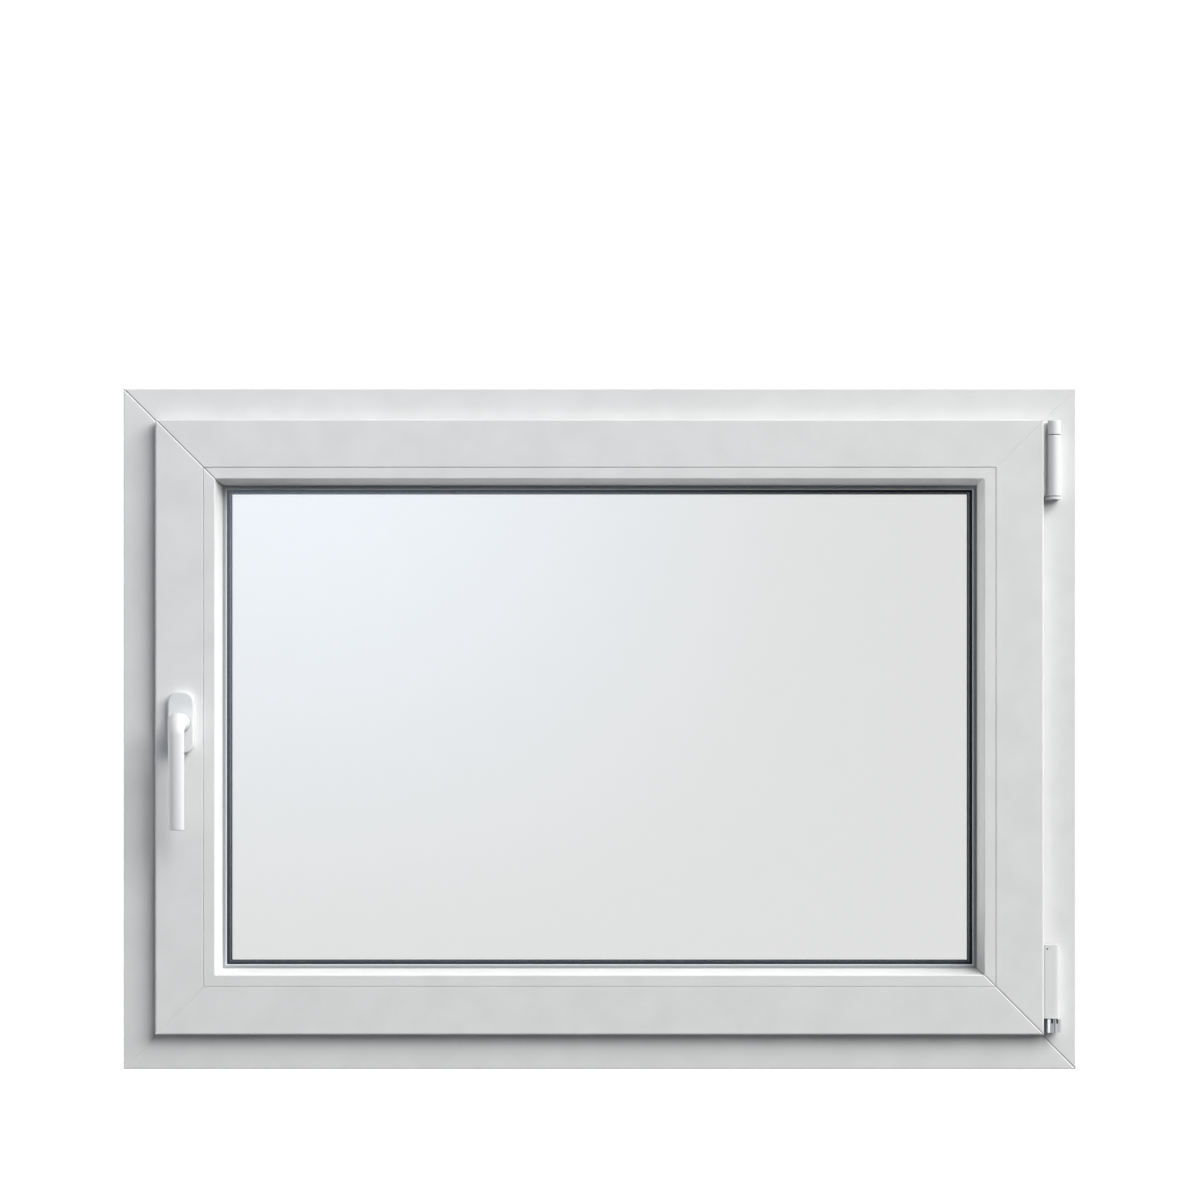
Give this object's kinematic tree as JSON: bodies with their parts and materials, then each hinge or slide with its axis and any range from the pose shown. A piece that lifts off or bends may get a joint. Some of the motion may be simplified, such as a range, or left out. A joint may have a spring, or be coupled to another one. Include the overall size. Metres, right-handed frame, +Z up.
{
  "type": "tilt and turn window",
  "caption": "White PVC-U tilt and turn window: mitred frame and sash, clip-in beads, double glazing, lever handle, and stay and corner hinges on the right.",
  "frame": {"origin": "middle of the sill's lower face, at mid width and mid depth of the frame", "axes": "+X to the right seen from the room, +Y to the outside, +Z up"},
  "size_m": [1.05, 0.142, 0.75],
  "materials": {
    "white_pvc": "extruded PVC-U, satin",
    "white_coating": "white powder coat",
    "white_moulding": "injection moulded cover",
    "grey_seal": "extruded grey seal",
    "clear_glass": "float glass",
    "black_spacer": "warm edge spacer",
    "zinc_metal": "bare die-cast zinc"
  },
  "bodies": {
    "window": {"frame_sill": "white_pvc", "frame_head": "white_pvc", "frame_left_jamb": "white_pvc", "frame_right_jamb": "white_pvc", "sash_bottom_rail": "white_pvc", "sash_top_rail": "white_pvc", "sash_lock_stile": "white_pvc", "sash_hinge_stile": "white_pvc", "bead_bottom": "white_pvc", "bead_top": "white_pvc", "bead_left": "white_pvc", "bead_right": "white_pvc", "sash_seal": "grey_seal", "frame_seal": "grey_seal", "glazing_gasket_inner": "grey_seal", "glazing_gasket_outer": "grey_seal", "spacer_bar": "black_spacer", "inner_pane": "clear_glass", "outer_pane": "clear_glass", "handle_rosette": "white_coating", "stay_bearing": "white_coating", "stay_bearing_cover": "white_moulding", "stay_arm_cover": "white_moulding", "stay_hinge_pin": "zinc_metal", "corner_hinge": "zinc_metal", "corner_hinge_cover": "white_moulding", "pivot_rest": "zinc_metal", "pivot_pin": "zinc_metal"},
    "handle": {"handle_lever": "white_coating", "handle_spindle": "zinc_metal"}
  },
  "joints": [
    {"name": "handle_turn", "type": "hinge", "parent": "window", "child": "handle", "pos_m": [-0.4585, -0.062, 0.382], "axis": [0, -1, 0], "range_deg": [0, 180]}
  ]
}
